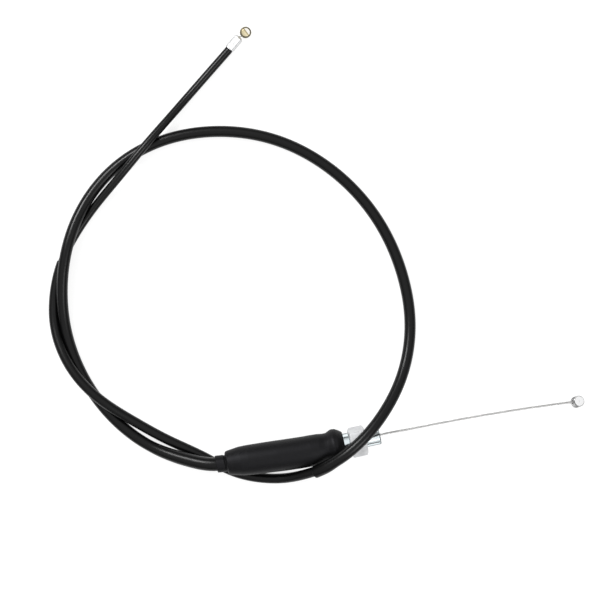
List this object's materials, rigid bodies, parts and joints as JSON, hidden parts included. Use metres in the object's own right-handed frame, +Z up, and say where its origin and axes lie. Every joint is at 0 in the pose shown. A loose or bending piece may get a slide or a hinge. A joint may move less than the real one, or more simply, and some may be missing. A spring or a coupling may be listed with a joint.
{
  "type": "throttle cable",
  "caption": "Sheathed throttle cable lying in a loose coil, with a brass barrel nipple, a rubber-booted adjuster, a swivel union nut and a bare wire with a steel nipple.",
  "frame": {"origin": "on the floor, under the middle of the fittings' footprint (boot, adjuster, ferrules and nipples)", "axes": "+Z up from the floor the cable lies on; +Y from the rubber boot towards the brass nipple; +X towards the bare wire's steel nipple"},
  "size_m": [0.3469, 0.2957, 0.0293],
  "materials": {
    "jacket_pvc": "satin black PVC jacket",
    "sleeve_pvc": "satin black PVC sleeve with a soft highlight",
    "conduit_steel": "spring-steel spiral conduit, hidden",
    "liner_plastic": "natural white plastic liner, hidden",
    "wire_steel": "stranded steel wire, light grey",
    "zinc": "bright zinc plate with a faint blue cast",
    "frosted_zinc": "light frosted zinc plate",
    "brass": "plain turned brass",
    "boot_rubber": "smooth matte black rubber with a soft sheen"
  },
  "bodies": {
    "casing": {"casing_jacket": "jacket_pvc", "short_sleeve": "sleeve_pvc", "long_sleeve": "sleeve_pvc", "casing_conduit": "conduit_steel", "casing_liner": "liner_plastic", "inner_wire": "wire_steel", "throttle_end_ferrule": "zinc", "adjuster_end_ferrule": "zinc", "rubber_boot": "boot_rubber"},
    "throttle_end": {"throttle_wire_end": "wire_steel", "throttle_nipple": "brass"},
    "carb_end": {"carb_wire": "wire_steel", "carb_nipple": "zinc"},
    "screw": {"adjuster_screw": "zinc"},
    "barrel": {"adjuster_barrel": "zinc"},
    "lock_nut": {"adjuster_lock_nut": "zinc"},
    "swivel_nut": {"union_nut": "frosted_zinc"}
  },
  "joints": [
    {"name": "wire_pull", "type": "slide", "parent": "casing", "child": "carb_end", "axis": [-0.9744, -0.2207, 0.0436], "range_m": [0, 0.035], "deforming": ["carb_wire"]},
    {"name": "nipple_pull", "type": "slide", "parent": "casing", "child": "throttle_end", "axis": [0.6563, 0.7545, 0], "range_m": [0, 0.035]},
    {"name": "adjuster_turn", "type": "hinge", "parent": "casing", "child": "screw", "pos_m": [-0.0734, -0.13271, 0.01219], "axis": [-0.979, -0.1992, 0.0436], "range_deg": [0, 1800]},
    {"name": "adjuster_extend", "type": "slide", "parent": "casing", "child": "barrel", "axis": [0.979, 0.1992, -0.0436], "range_m": [0, 0.00625]},
    {"name": "lock_nut_turn", "type": "hinge", "parent": "barrel", "child": "lock_nut", "pos_m": [-0.06439, -0.13088, 0.01179], "axis": [-0.979, -0.1992, 0.0436], "range_deg": [0, 360]},
    {"name": "union_nut_turn", "type": "hinge", "parent": "barrel", "child": "swivel_nut", "pos_m": [-0.02738, -0.12335, 0.01014], "axis": [0.979, 0.1992, -0.0436], "continuous": true}
  ],
  "couplings": [
    {"joint": "nipple_pull", "follows": "wire_pull", "ratio": 1},
    {"joint": "adjuster_turn", "follows": "adjuster_extend", "rad_per_m": 5026.5}
  ]
}
